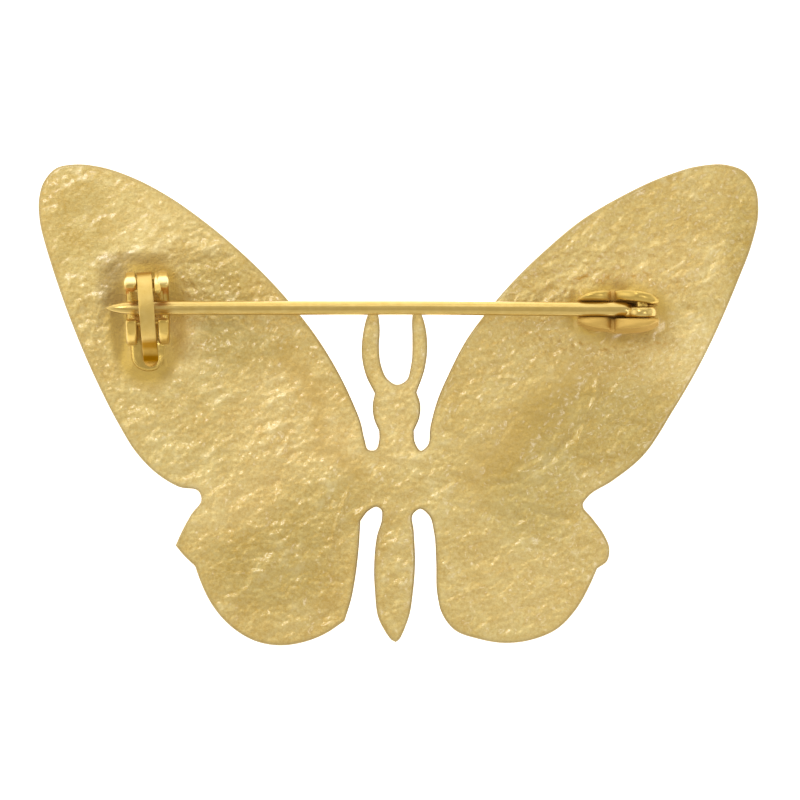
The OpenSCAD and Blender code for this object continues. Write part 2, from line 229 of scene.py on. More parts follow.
def drawn_in(loop, by):
    """The loop moved inwards, to its left, by a small distance. Where a tight bend would make
    it cross itself, its points are evened out."""
    run = np.roll(loop, -1, 0) - loop
    way = run / np.hypot(*run.T)[:, None]
    way = way + np.roll(way, 1, 0)
    way /= np.hypot(*way.T)[:, None]
    moved = loop + by * np.stack([-way[:, 1], way[:, 0]], 1)
    for _ in range(60):
        crossed = ((np.roll(moved, -1, 0) - moved) * run).sum(1) < 0.15 * (run * run).sum(1)
        if not crossed.any():
            break
        crossed |= np.roll(crossed, 1)
        moved[crossed] = (np.roll(moved, 1, 0)[crossed] + np.roll(moved, -1, 0)[crossed]) / 2
    return moved


def lattice(loops, step):
    """Points of a triangular lattice that lie inside the loops."""
    start = np.vstack(loops)
    stop = np.vstack([np.roll(loop, -1, 0) for loop in loops])
    points = []
    for row, v in enumerate(np.arange(start[:, 1].min(), start[:, 1].max(), step * 0.866)):
        shift = 0.5 * step * (row % 2)
        hit = (start[:, 1] <= v) != (stop[:, 1] <= v)
        a, b = start[hit], stop[hit]
        cross = np.sort(a[:, 0] + (v - a[:, 1]) * (b[:, 0] - a[:, 0]) / (b[:, 1] - a[:, 1]))
        for left, right in zip(cross[::2], cross[1::2]):
            us = np.arange(math.ceil((left - shift) / step), (right - shift) / step) * step + shift
            points.append(np.stack([us, np.full(len(us), v)], 1))
    return np.vstack(points)


def face_outward(mesh, merge_within=None):
    """Turns the faces of a closed mesh outward, after its doubles are merged where asked."""
    form = bmesh.new()
    form.from_mesh(mesh)
    if merge_within:
        bmesh.ops.remove_doubles(form, verts=form.verts, dist=merge_within)
    bmesh.ops.recalc_face_normals(form, faces=form.faces)
    form.to_mesh(mesh)
    form.free()


def slab(name, loops, top, bottom, rim, steps, place=lambda u, v, w: (u, v, w)):
    """A closed piece between two surfaces over an outline, which may have holes, with rounded
    edges. place() turns its flat u and v and its level w into X, Y and Z."""
    rings = [(rim * (1 - math.sin(a)), rim * (1 - math.cos(a)))
             for a in np.linspace(0, math.pi / 2, 5)]
    spots, faces, starts = [], [], []
    count = 0
    for loop in loops:
        sides = [(drawn_in(loop, inside), fall) for inside, fall in rings]
        upper = [np.column_stack([ring, top(*ring.T) - fall]) for ring, fall in sides]
        lower = [np.column_stack([ring, bottom(*ring.T) + fall]) for ring, fall in sides[::-1]]
        shares = np.linspace(0, 1, 9)[1:-1]
        middle = [upper[-1] + (lower[0] - upper[-1]) * share for share in shares]
        layers = [count + i * len(loop) for i in range(2 * len(rings) + len(shares))]
        spots += upper + middle + lower
        count += len(loop) * len(layers)
        around = np.arange(len(loop))
        following = np.roll(around, -1)
        for high, low in zip(layers, layers[1:]):
            faces += np.column_stack(
                [high + around, low + around, low + following, high + following]).tolist()
        starts.append((layers[0], layers[-1], len(loop)))
    for side, (level, step) in enumerate(((top, steps[0]), (bottom, steps[1]))):
        edges, ids, flat = [], [], []
        for loop, start in zip(loops, starts):
            first = len(ids)
            ids += list(range(start[side], start[side] + start[2]))
            edges += [(first + i, first + (i + 1) % start[2]) for i in range(start[2])]
            flat.append(drawn_in(loop, rim))
        inner = lattice([drawn_in(loop, rim + 0.6 * step) for loop in loops], step)
        ids += list(range(count, count + len(inner)))
        spots.append(np.column_stack([inner, level(*inner.T)]))
        count += len(inner)
        flat = np.vstack(flat + [inner])
        made = delaunay_2d_cdt([Vector(p) for p in flat.tolist()], edges, [], 2, 1e-9)
        ids = [ids[source[0]] for source in made[3]]
        turn = 1 if side == 0 else -1
        faces += [[ids[i] for i in face][::turn] for face in made[2]]
    spots = np.vstack(spots)
    mesh = bpy.data.meshes.new(name)
    mesh.from_pydata(np.column_stack(place(*spots.T)).tolist(), [], faces)
    face_outward(mesh)
    mesh.shade_smooth()
    piece = bpy.data.objects.new(name, mesh)
    bpy.context.scene.collection.objects.link(piece)
    return piece


def new_shaper(name, inputs):
    """A Geometry Nodes tree for a modifier, and its inputs' identifiers by name."""
    made = bpy.data.node_groups.new(name, "GeometryNodeTree")
    made.is_modifier = True
    sides = made.interface
    sides.new_socket("Geometry", in_out="OUTPUT", socket_type="NodeSocketGeometry")
    sides.new_socket("Geometry", in_out="INPUT", socket_type="NodeSocketGeometry")
    kinds = ("NodeSocketMaterial" if label == "Metal" else "NodeSocketFloat" for label in inputs)
    return made, {label: sides.new_socket(label, in_out="INPUT", socket_type=kind).identifier
                  for label, kind in zip(inputs, kinds)}


def shape_by(piece, tree, sockets, values):
    """Makes what a tree gives with the given inputs the piece's own plain mesh."""
    shaping = piece.modifiers.new(tree.name, "NODES")
    shaping.node_group = tree
    for label, value in values.items():
        shaping[sockets[label]] = value
    shaped = piece.evaluated_get(bpy.context.evaluated_depsgraph_get())
    mesh = bpy.data.meshes.new_from_object(shaped)
    piece.modifiers.clear()
    face_outward(mesh, 0.0005 * MM)
    piece.data = mesh


outline = even_loop(casting_outline(), edge_step)
casting = slab(
    "casting", [outline], back_level, face_level, casting_rim, (back_step, face_step))

# Where the wrinkles go: none on the rim, and none in the smooth pools of solder. The solder
# also climbs against the foot of the catch and the hinge in a low hollow curve, and lies in a
# round lobe before the hinge.
catch_x, rivet_x, pin_y = -17.75 * MM, 17.2 * MM, 6.85 * MM
spots = np.array([v.co for v in casting.data.vertices])
x, y = spots[:, 0], spots[:, 1]
edge_tree = kdtree.KDTree(len(outline))
for i, p in enumerate(outline):
    edge_tree.insert((p[0], p[1], 0), i)
edge_tree.balance()
from_edge = np.array([edge_tree.find((p[0], p[1], 0))[2] for p in spots])
on_back = spots[:, 2] > (front_level(x, y) + back_level(x, y)) / 2
free = np.clip((from_edge - casting_rim) / (0.5 * MM), 0, 1) ** 0.7 * on_back


def pool(middle, reach, fade):
    """1 in an oval, such as a pool of solder, falling to 0 over its fade, in millimetres."""
    off = np.hypot((x / MM - middle[0]) / reach[0], (y / MM - middle[1]) / reach[1])
    mean = (reach[0] + reach[1]) / 2
    return np.clip((1 + fade / mean - off) * mean / fade, 0, 1)


def climb(middle, half, high, wide):
    """Solder that climbs unevenly against a foot of the given half sizes, over a width. This
    one is in metres."""
    gap = np.hypot(np.maximum(np.abs(x - middle[0]) - half[0], 0),
                   np.maximum(np.abs(y - middle[1]) - half[1], 0))
    way = np.arctan2(y - middle[1], x - middle[0])
    wide = wide * (1 + 0.3 * np.sin(3 * way + 0.6) + 0.2 * np.sin(7 * way + 2.0))
    return high * np.clip(1 - gap / wide, 0, 1) ** 2


def near_line(line, reach):
    """1 on a line of (X, Y) points, falling to 0 away from it, in millimetres."""
    nearest = np.full(len(x), np.inf)
    for (x1, y1), (dx, dy) in zip(line, np.diff(line, axis=0)):
        from_x, from_y = x / MM - x1, y / MM - y1
        along = np.clip((from_x * dx + from_y * dy) / (dx ** 2 + dy ** 2), 0, 1)
        nearest = np.minimum(nearest, np.hypot(from_x - along * dx, from_y - along * dy))
    return np.exp(-(nearest / reach) ** 2)


hinge_middle = 15.5 * MM
solder = np.maximum(pool((catch_x / MM, 5.9), (2.5, 4.1), 0.9),
                    pool((hinge_middle / MM, 6.5), (3.2, 1.9), 0.9)) * on_back
catch_climb = climb(
    (catch_x + 0.05 * MM, pin_y - 1.3 * MM), (1.1 * MM, 2.8 * MM), 0.20 * MM, 1.3 * MM)
hinge_climb = climb((hinge_middle, pin_y - 0.1 * MM), (2.3 * MM, 0.9 * MM), 0.24 * MM, 1.1 * MM)
lobe = pool((13.7, 5.85), (0.8, 0.8), 0.75)
lobe = 0.30 * MM * lobe * lobe * (3 - 2 * lobe)
spots[:, 2] += np.maximum(np.maximum(catch_climb, hinge_climb), lobe) * on_back

# Folds of the foil that show on the back: two thin ridges, three creases and two pits, with
# height, reach and line in millimetres.
folds = np.zeros(len(x))
for high, reach, line in (
        (0.11, 0.13, [(-3.4, -5.7), (-4.2, -7.8), (-4.8, -10.1), (-5.0, -10.8)]),
        (0.11, 0.14, [(14.1, 1.7), (13.9, 0.4), (13.2, -1.1), (12.7, -2.8)]),
        (-0.10, 0.24, [(6.5, -5.7), (8.6, -5.4), (10.5, -4.2), (13.4, -0.9)]),
        (-0.10, 0.24, [(9.0, -7.4), (11.8, -8.2)]), (-0.10, 0.24, [(11.4, 9.2), (13.2, 9.9)]),
        (-0.22, 0.30, [(-7.6, -3.6), (-7.4, -3.5)]), (-0.22, 0.30, [(-8.8, -5.6), (-8.6, -5.4)])):
    folds += high * MM * near_line(line, reach)
spots[:, 2] += folds * free
casting.data.vertices.foreach_set("co", spots.ravel())

# Along the inner edge of the left wing and across the right one the foil stayed smooth. Painted
# light and shade make some places paler and others deeper, standing in for the light on the
# plate's broad swells and hollows and lifting the shade to the right of the catch. The wrinkles are
# livelier or calmer, the torch left smoke beside the catch, and a darker smear lies beside the
# hinge. All in millimetres.
smooth = np.maximum(
    near_line([(-8.0, 3.3), (-6.2, 1.5), (-5.6, -1.0), (-5.4, -2.8), (-3.0, -4.9)], 0.8),
    near_line([(6.0, -4.6), (12.5, 2.0)], 2.0)) * on_back
# Painted light and shade: pools that make the plate paler or deeper over its swells and hollows.
painted_light_and_shade = np.zeros(len(x))
for middle, reach, paler in (
        ((-15.5, 12.7), (2.2, 1.2), 0.3), ((-7.7, -1.6), (3.2, 3.4), 0.8),
        ((19.8, 10.0), (2.4, 1.4), 0.5), ((20.6, 3.9), (1.8, 1.4), 0.8),
        ((8.6, -13.1), (3.4, 1.8), 0.4), ((-0.2, 2.4), (0.8, 1.6), 0.9),
        ((-12.4, -7.0), (2.2, 1.4), 0.8), ((-1.5, -2.6), (2.4, 1.2), 0.8),
        ((-15.1, 5.2), (0.4, 0.9), 1.7), ((14.3, -1.6), (4.0, 2.4), -1.1),
        ((9.6, -6.4), (2.0, 2.0), -1.1), ((-9.0, -11.4), (3.0, 2.2), -1.0),
        ((-5.4, -7.4), (1.8, 1.4), -0.7), ((24.4, 10.5), (0.8, 3.4), -1.0),
        ((-13.3, 7.6), (1.6, 1.6), -1.0), ((-22.5, 12.4), (1.2, 3.0), -0.6),
        ((-11.6, 4.2), (1.8, 0.8), -0.9)):
    painted_light_and_shade += paler * pool(middle, reach, 2.2)
lively = np.maximum(pool((-8.2, -1.0), (1.6, 2.2), 1.6), pool((18.6, 9.2), (1.3, 1.0), 1.2))
calm = 0.7 * pool((-20.5, 12.6), (3.6, 3.6), 3.0)
smoke = np.zeros(len(x))
# The last oval is a darker strip along the foot of the hinge's near wall.
for middle, reach, dark in (((-19.9, 6.3), (0.4, 2.6), 1.0), ((-20.2, 9.5), (0.5, 0.5), 1.3),
                            ((-18.6, 10.4), (1.8, 0.3), 0.9), ((-20.7, 8.2), (0.3, 0.6), 1.2),
                            ((16.4, 4.9), (1.4, 0.3), 0.6)):
    smoke = np.maximum(smoke, dark * pool(middle, reach, 0.9))
smoke *= on_back
# Painted shade: the rounded rim is darkened where it turns down to the table.
rim = np.clip(1 - (from_edge - 0.04 * MM) / casting_rim, 0, 1) * 0.8
crumpled = free * (1 - solder) * (1 - 0.45 * smooth) * (1 - calm)
for label, values in (("free", crumpled), ("solder", solder), ("inner", free), ("rim", rim),
                      ("smooth", smooth), ("smoke", smoke), ("lively", lively),
                      ("painted_light_and_shade", painted_light_and_shade)):
    casting.data.attributes.new(label, "FLOAT", "POINT").data.foreach_set("value", values)


# Matt gold plate over a cast, crumpled back: pale and silky, with soft glints on the wrinkles, a
# pale painted highlight on the wrinkle crests, painted light and shade over the broad swells,
# painted shade along the rim, and deeper gold with brown smears where it was soldered.
satin_cast_gold, tree, metal, where = new_material("satin_cast_gold")
crest, soldered, smooth_deeper, painted_light_and_shade, smoke, rim = [
    add(tree, "ShaderNodeAttribute", attribute_name=label).outputs["Fac"]
    for label in ("crest", "solder", "smooth", "painted_light_and_shade", "smoke", "rim")]
drift, blotch, mottle = [
    add(tree, "ShaderNodeTexNoise", {
        "Vector": where, "Scale": 1 / (wide * MM), "Detail": 2.0, "Roughness": rough})
    for wide, rough in ((7, 0.5), (1.5, 0.6), (0.24, 0.8))]
uneven = add(tree, "ShaderNodeMath", {0: drift, 1: blotch}, operation="ADD")
uneven = add(tree, "ShaderNodeMath", {0: mottle, 1: 2.0, 2: uneven}, operation="MULTIPLY_ADD")
spread = add(tree, "ShaderNodeMapRange", {"Value": uneven, "From Min": 1.5, "From Max": 2.5})
plated = add(tree, "ShaderNodeMix", {
    "Factor": spread, 6: linear("#CFB064"), 7: linear("#E3CF8E")}, data_type="RGBA").outputs[2]
smooth_deeper = add(tree, "ShaderNodeMath", {0: smooth_deeper, 1: 0.5}, operation="MULTIPLY")
smear = add(tree, "ShaderNodeTexNoise", {
    "Vector": where, "Scale": 1 / (2.2 * MM), "Detail": 2.0, "Distortion": 0.4})
brown = add(tree, "ShaderNodeMapRange", {"Value": smear, "From Min": 0.50, "From Max": 0.75})
heated = add(tree, "ShaderNodeMix", {
    "Factor": brown, 6: linear("#CFB058"), 7: linear("#C2A154")}, data_type="RGBA").outputs[2]
# Painted highlight: the wrinkle crests are mixed towards a pale cream.
for share, colour in (
        (crest, linear("#FBF0C2")), (smooth_deeper, linear("#C4A24E")), (soldered, heated)):
    plated = add(tree, "ShaderNodeMix", {
        "Factor": share, 6: plated, 7: colour}, data_type="RGBA").outputs[2]
# Painted light and shade: the pools lighten or darken the colour and change its saturation.
painted_light_and_shade = add(tree, "ShaderNodeMath", {0: painted_light_and_shade, 1: 0.13, 2: 1.0}, operation="MULTIPLY_ADD")
deeper = add(tree, "ShaderNodeMath", {0: painted_light_and_shade, 1: -0.4, 2: 1.4}, operation="MULTIPLY_ADD")
plated = add(tree, "ShaderNodeHueSaturation", {
    "Saturation": deeper, "Value": painted_light_and_shade, "Color": plated})
smoke = add(tree, "ShaderNodeMath", {0: smoke, 1: smear}, operation="MULTIPLY")
# Brown smoke from the torch, and painted shade along the rim.
for share, colour in ((smoke, "#8F7139"), (rim, "#97814F")):
    plated = add(tree, "ShaderNodeMix", {
        "Factor": share, 6: plated, 7: linear(colour)}, data_type="RGBA").outputs[2]
grain = add(tree, "ShaderNodeTexNoise", {
    "Vector": where, "Scale": 1 / (0.22 * MM), "Detail": 3.0, "Roughness": 0.7})
bump = add(tree, "ShaderNodeBump", {"Height": grain, "Strength": 1.0, "Distance": 0.06 * MM})
fill(tree, metal, {
    "Base Color": plated, "Metallic": 1.0, "Roughness": 0.50, "Coat Weight": 1.0,
    "Coat Roughness": 0.22, "Normal": bump})

# The crumple itself, in the metal: wrinkles that lean one way and fine cells between them, on
# lumps and gentle swells.
crumple_sizes = {
    "Lean": math.radians(-28), "Wrinkle length": 0.84 * MM, "Wrinkle width": 0.60 * MM,
    "Wrinkle height": 0.19 * MM, "Ridge height": 0.14 * MM, "Grain height": 0.12 * MM,
    "Lump height": 0.42 * MM, "Swell width": 6.5 * MM, "Swell height": 0.45 * MM,
    "Patch width": 3.4 * MM}
crumple, crumple_sockets = new_shaper("crumpled_back", crumple_sizes)
given = add(crumple, "NodeGroupInput").outputs
place = add(crumple, "GeometryNodeInputPosition")
leaning = add(crumple, "ShaderNodeVectorRotate", {
    "Vector": place, "Angle": given["Lean"]}, rotation_type="Z_AXIS")
wrinkle_size = add(crumple, "ShaderNodeCombineXYZ", {
    "X": given["Wrinkle length"], "Y": given["Wrinkle width"], "Z": given["Wrinkle width"]})
drawn = add(crumple, "ShaderNodeVectorMath", {0: leaning, 1: wrinkle_size}, operation="DIVIDE")
broad = add(crumple, "ShaderNodeVectorMath", {
    0: place, 1: given["Swell width"]}, operation="DIVIDE")
lively, bare, inner = [
    add(crumple, "GeometryNodeInputNamedAttribute", {"Name": label})
    for label in ("lively", "free", "inner")]

# Noises that swing about 0: the wrinkles, the sharper ridges, the lumps and the swells.
about_zero = []
for along, scale, detail, rough, bent in (
        (drawn, 1.0, 2.0, 0.5, 0.2), (drawn, 0.6, 3.0, 0.6, 0.9), (drawn, 0.52, 2.0, 0.5, 0.4),
        (broad, 1.0, 1.0, 0.5, 0.0)):
    noise = add(crumple, "ShaderNodeTexNoise", {
        "Vector": along, "Scale": scale, "Detail": detail, "Roughness": rough,
        "Distortion": bent})
    about_zero.append(add(crumple, "ShaderNodeMath", {0: noise, 1: 0.5}, operation="SUBTRACT"))
wrinkle, ridge, lump, swell = about_zero
patchy = add(crumple, "ShaderNodeVectorMath", {
    0: place, 1: given["Patch width"]}, operation="DIVIDE")
patches = add(crumple, "ShaderNodeTexNoise", {"Vector": patchy, "Scale": 1.0, "Detail": 2.0})
patchy = add(crumple, "ShaderNodeMath", {0: lively, 1: 0.14, 2: patches}, operation="MULTIPLY_ADD")
busy = add(crumple, "ShaderNodeMapRange", {
    "Value": patchy, "From Min": 0.40, "From Max": 0.60, "To Min": 0.12})
wave = add(crumple, "ShaderNodeMath", {
    0: wrinkle, 1: given["Wrinkle height"]}, operation="MULTIPLY")
off_ridge = add(crumple, "ShaderNodeMath", {0: ridge}, operation="ABSOLUTE")
ridge = add(crumple, "ShaderNodeMath", {0: 0.12, 1: off_ridge}, operation="SUBTRACT")
wave = add(crumple, "ShaderNodeMath", {
    0: ridge, 1: given["Ridge height"], 2: wave}, operation="MULTIPLY_ADD")
wave = add(crumple, "ShaderNodeMath", {0: wave, 1: busy}, operation="MULTIPLY")
high = add(crumple, "ShaderNodeMapRange", {
    "Value": wave, "From Min": 0.012 * MM, "From Max": 0.045 * MM, "To Max": 0.3})
waver = add(crumple, "ShaderNodeTexNoise", {"Vector": drawn, "Scale": 1.3, "Detail": 1.0})
wavered = add(crumple, "ShaderNodeVectorMath", {
    0: waver.outputs["Color"], 1: (0.5, 0.5, 0.5), 2: drawn}, operation="MULTIPLY_ADD")
cells = add(crumple, "ShaderNodeTexVoronoi", {
    "Vector": wavered, "Scale": 2.2, "Smoothness": 0.25}, feature="SMOOTH_F1")
cell = add(crumple, "ShaderNodeMath", {0: 0.45, 1: cells}, operation="SUBTRACT")
wave = add(crumple, "ShaderNodeMath", {
    0: cell, 1: given["Grain height"], 2: wave}, operation="MULTIPLY_ADD")
lift = add(crumple, "ShaderNodeMath", {
    0: lump, 1: given["Lump height"], 2: wave}, operation="MULTIPLY_ADD")
lift = add(crumple, "ShaderNodeMath", {0: lift, 1: bare}, operation="MULTIPLY")
swell = add(crumple, "ShaderNodeMath", {0: swell, 1: inner}, operation="MULTIPLY")
lift = add(crumple, "ShaderNodeMath", {
    0: swell, 1: given["Swell height"], 2: lift}, operation="MULTIPLY_ADD")
up = add(crumple, "ShaderNodeCombineXYZ", {"Z": lift})
moved = add(crumple, "GeometryNodeSetPosition", {"Geometry": given["Geometry"], "Offset": up})
kept = add(crumple, "GeometryNodeStoreNamedAttribute", {
    "Geometry": moved, "Name": "crest", "Value": high}, data_type="FLOAT", domain="POINT")
whole = add(crumple, "GeometryNodeRealizeInstances", {"Geometry": kept})
dressed = add(crumple, "GeometryNodeSetMaterial", {"Geometry": whole, "Material": satin_cast_gold})
add(crumple, "NodeGroupOutput", {0: dressed})
shape_by(casting, crumple, crumple_sockets, crumple_sizes)
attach(casting, "root")
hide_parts("butterfly")


# The hinge bracket.
# A channel of rolled strip soldered on the right wing: two bowed walls with a floor between
# them. Each wall has a round cradle for the wire and, past a notch, an ear for the rivet.
pin_z = 5.369 * MM
wall_left, wall_right, wall_low = -4.55 * MM, 1.2 * MM, 2.32 * MM - pin_z
ear, cradle_low, cradle_rise = 1.2 * MM, -0.3 * MM, 0.75 * MM
notch_left, notch_right, notch_floor = -2.2 * MM, -1.93 * MM, -0.22 * MM
channel_far, channel_near, wall_thick = 0.55 * MM, 0.73 * MM, 0.7 * MM
bow_reach, bow_middle, bow_least = 2.98 * MM, -1.675 * MM, 0.2 * MM
wall_rim, bowed_step, flat_step, hammered_low = 0.10 * MM, 0.12 * MM, 0.2 * MM, -1.4 * MM
floor_right, floor_low, floor_top, floor_lap = 0.6 * MM, 2.3 * MM, 4.15 * MM, 0.1 * MM


def arc(middle, radius, start, stop, steps):
    """Points on an arc from one angle to another, in degrees."""
    angles = np.radians(np.linspace(start, stop, steps))
    return np.stack([middle[0] + radius * np.cos(angles), middle[1] + radius * np.sin(angles)], 1)


def soft_loop(loop, radius, step):
    """The loop with its sharp corners rounded off and extra points on its long sides."""
    soft = []
    for before, here, after in zip(np.roll(loop, 1, 0), loop, np.roll(loop, -1, 0)):
        back, on = before - here, after - here
        long_back, long_on = np.hypot(*back), np.hypot(*on)
        cosine = np.clip(-(back @ on) / (long_back * long_on), -1, 1)
        if cosine > math.cos(sharp_corner):
            soft.append(here)
            continue
        cut = min(radius * math.tan(math.acos(cosine) / 2), 0.45 * long_back, 0.45 * long_on)
        start, stop = here + back * cut / long_back, here + on * cut / long_on
        for t in np.linspace(0, 1, 9):
            soft.append((1 - t) ** 2 * start + 2 * t * (1 - t) * here + t ** 2 * stop)
    points = []
    for here, after in zip(soft, soft[1:] + soft[:1]):
        count = max(1, round(np.hypot(*(after - here)) / step))
        points += [here + (after - here) * i / count for i in range(count)]
    return np.array(points)


def flat_at(height):
    """A level top or bottom for a slab."""
    return lambda u, v: np.full(len(u), height)


def cloudy(tree, where, wide, detail, deeper, paler):
    """Clouds of a given width, and a colour that drifts with them between two tones."""
    cloud = add(tree, "ShaderNodeTexNoise", {"Vector": where, "Scale": 1 / wide, "Detail": detail})
    return cloud, add(tree, "ShaderNodeMix", {
        "Factor": cloud, 6: linear(deeper), 7: linear(paler)}, data_type="RGBA").outputs[2]


# Smooth golden metal of the rolled and stamped fittings: glossier and deeper than the casting,
# with a faint softness from the plating.
plated_strip, tree, metal, where = new_material("plated_strip")
_, hue = cloudy(tree, where, 0.9 * MM, 3.0, "#C2A04D", "#D8BC6D")
dents = add(tree, "ShaderNodeTexNoise", {
    "Vector": where, "Scale": 1 / (0.35 * MM), "Detail": 2.0, "Roughness": 0.6})
bump = add(tree, "ShaderNodeBump", {"Height": dents, "Strength": 1.0, "Distance": 0.018 * MM})
fill(tree, metal, {
    "Base Color": hue, "Metallic": 1.0, "Roughness": 0.26, "Coat Weight": 0.10,
    "Coat Roughness": 0.08, "Normal": bump})


def strip_copy(name):
    """A copy of the strip's metal, its node tree, shader and colour, and the place."""
    made = plated_strip.copy()
    made.name = name
    tree = made.node_tree
    metal = tree.nodes["Principled BSDF"]
    hue = metal.inputs["Base Color"].links[0].from_socket
    return made, tree, metal, hue, add(tree, "ShaderNodeTexCoord").outputs["Object"]


# The hinge's own metal: softer on top, and matt down in the channel and on the near wall, where
# no polishing wheel could reach. There it is painted a deeper, less metallic gold: painted shade,
# standing in for the warm light that bounces between the walls.
channel_gold, tree, metal, hue, where = strip_copy("channel_gold")
parts = add(tree, "ShaderNodeSeparateXYZ", {"Vector": where}).outputs
painted_shade_zone = add(tree, "ShaderNodeMapRange", {
    "Value": parts["Z"], "From Min": pin_z + 0.32 * MM, "From Max": pin_z - 0.10 * MM})
near_side = add(tree, "ShaderNodeMapRange", {
    "Value": parts["Y"], "From Min": pin_y - 0.45 * MM, "From Max": pin_y - 0.70 * MM,
    "To Max": 0.7})
painted_shade_zone = add(tree, "ShaderNodeMath", {0: painted_shade_zone, 1: near_side}, operation="MAXIMUM")
# Painted shade: a deeper gold low in the channel and on the near wall.
hue = add(tree, "ShaderNodeMix", {
    "Factor": painted_shade_zone, 6: hue, 7: linear("#CDA757")}, data_type="RGBA").outputs[2]
bare, rough = [
    add(tree, "ShaderNodeMapRange", {"Value": painted_shade_zone, "To Min": on_top, "To Max": low_down})
    for on_top, low_down in ((1.0, 0.45), (0.34, 0.55))]
fill(tree, metal, {
    "Base Color": hue, "Metallic": bare, "Roughness": rough, "Coat Weight": 0.0})


def hump(left, right, low, rise, start, stop):
    """Points over a flat-topped hump between two ends, from one angle to another."""
    turn = np.radians(np.linspace(start, stop, 34))
    across = (left + right) / 2 + (right - left) / 2 * np.cos(turn)
    return np.stack([across, low + rise * np.sin(turn) ** 0.75], 1)


wall_side = soft_loop(np.vstack([
    [(wall_left, wall_low), (wall_right, wall_low)],
    hump(notch_right, wall_right, 0, ear, 2, 172),
    [(notch_right, notch_floor), (notch_left, notch_floor)],
    hump(wall_left, notch_left, cradle_low, cradle_rise, 8, 178)]), 0.13 * MM, 0.12 * MM)


def bow(u):
    """How far the bowed outer face stands out of the channel's inner face."""
    return np.maximum(wall_thick * (1 - ((u - bow_middle) / bow_reach) ** 4), bow_least)


def at_hinge(u, v, w):
    return rivet_x + u, pin_y + w, pin_z + v


def hammered(v, out, most, crest):
    """How far the hammer took the upper edge down on either side of its crest."""
    return most * (out * 2 - 1 - crest) ** 2 * np.clip(1 - v / hammered_low, 0, 1)


def far_edge(u, v, w):
    """Places the far wall: its upper edge hammered round, its inner face closed on the wire and
    the eye, and the ear's corner over the notch worn down."""
    out = (w - channel_far) / bow(u)
    closed = np.interp(u / MM, [-2.2, -1.5, -0.1, 0.6], [-0.04, -0.05, 0.14, 0.26]) * MM
    closed += 0.22 * MM * np.clip((0.55 * MM - v) / (0.9 * MM), 0, 1)
    closed = np.minimum(closed, 0.34 * MM) * np.clip(1 - out, 0, 1)
    worn = np.interp(u / MM, [-2.1, -2.0, -0.4], [0, 0.45, 0]) * np.clip(v, 0, None)
    return at_hinge(u, v - hammered(v, out, 0.13 * MM, 0.25) - worn, w - closed)


def near_edge(u, v, w):
    """Places the near wall, hammered round, closed a little on the wire and flared lower down."""
    out = (-channel_near - w) / bow(u)
    closed = 0.12 * MM * np.clip((-u - 1.9 * MM) / (0.6 * MM), 0, 1)
    flare = 0.38 * MM * np.clip((0.9 * MM - v) / (1.6 * MM), 0, 1) * np.clip(out, 0, 1)
    return at_hinge(u, v - hammered(v, out, 0.09 * MM, 0.45), w + closed - flare)


far_wall = slab(
    "hinge_wall_far", [wall_side], lambda u, v: channel_far + bow(u), flat_at(channel_far),
    wall_rim, (bowed_step, flat_step), far_edge)
near_wall = slab(
    "hinge_wall_near", [wall_side], flat_at(-channel_near), lambda u, v: -channel_near - bow(u),
    wall_rim, (flat_step, bowed_step), near_edge)
floor_near, floor_far = -channel_near - floor_lap, channel_far + floor_lap
floor_side = soft_loop(np.array([
    (wall_left, floor_near), (floor_right, floor_near), (floor_right, floor_far),
    (wall_left, floor_far)]), 0.2 * MM, 0.12 * MM)
hinge_floor = slab(
    "hinge_floor", [floor_side], flat_at(floor_top), flat_at(floor_low), 0.05 * MM,
    (0.3 * MM, 0.5 * MM), lambda u, v, w: (rivet_x + u, pin_y + v, w))
for piece in (far_wall, near_wall, hinge_floor):
    piece.data.materials.append(channel_gold)
    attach(piece, "root")
    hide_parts("butterfly")


# The pin stem.
# One drawn wire: ground to a point at the catch, pressed flat into an eye at the hinge and
# held by a rivet. Swept along its line, so its length, width and taper are the swept sizes.
wire, stem_length = 0.98 * MM, 37.85 * MM
eye_radius, eye_near, eye_far, rivet_radius = 1.05 * MM, -0.67 * MM, 0.11 * MM, 0.43 * MM

# Bright drawn wire: polished, with fine lines along it from the draw plate.
drawn_gold, tree, metal, where = new_material("drawn_gold_wire")
long_way = add(tree, "ShaderNodeMapping", {"Vector": where, "Scale": (0.06, 1.0, 1.0)})
lines = add(tree, "ShaderNodeTexNoise", {
    "Vector": long_way, "Scale": 1 / (0.16 * MM), "Detail": 2.0, "Roughness": 0.6})
cloud, hue = cloudy(tree, where, 0.5 * MM, 2.0, "#C9AA5B", "#DCC27B")
mixed = add(tree, "ShaderNodeMath", {0: lines, 1: cloud}, operation="ADD")
bump = add(tree, "ShaderNodeBump", {"Height": mixed, "Strength": 1.0, "Distance": 0.012 * MM})
fill(tree, metal, {
    "Base Color": hue, "Metallic": 1.0, "Roughness": 0.30, "Coat Weight": 0.25,
    "Coat Roughness": 0.08, "Normal": bump})

# Metal of a given section swept along a line of points, each with its own share of the size.
# The crown lifts the middle of the section's outer side.
swept, swept_sockets = new_shaper(
    "swept_metal", ("Width", "Thickness", "Corner", "Crown", "Unevenness", "Metal"))
given = add(swept, "NodeGroupInput").outputs
line = add(swept, "GeometryNodeMeshToCurve", {"Mesh": given["Geometry"]})
section = add(swept, "GeometryNodeCurvePrimitiveQuadrilateral", {
    "Width": given["Width"], "Height": given["Thickness"]})
section = add(swept, "GeometryNodeFilletCurve", {
    "Curve": section, "Count": 6, "Radius": given["Corner"], "Limit Radius": True},
    mode="POLY")
section = add(swept, "GeometryNodeResampleCurve", {"Curve": section, "Count": 56})
spot = add(swept, "GeometryNodeInputPosition")
parts = add(swept, "ShaderNodeSeparateXYZ", {"Vector": spot}).outputs
share = add(swept, "ShaderNodeMath", {0: parts["X"], 1: given["Width"]}, operation="DIVIDE")
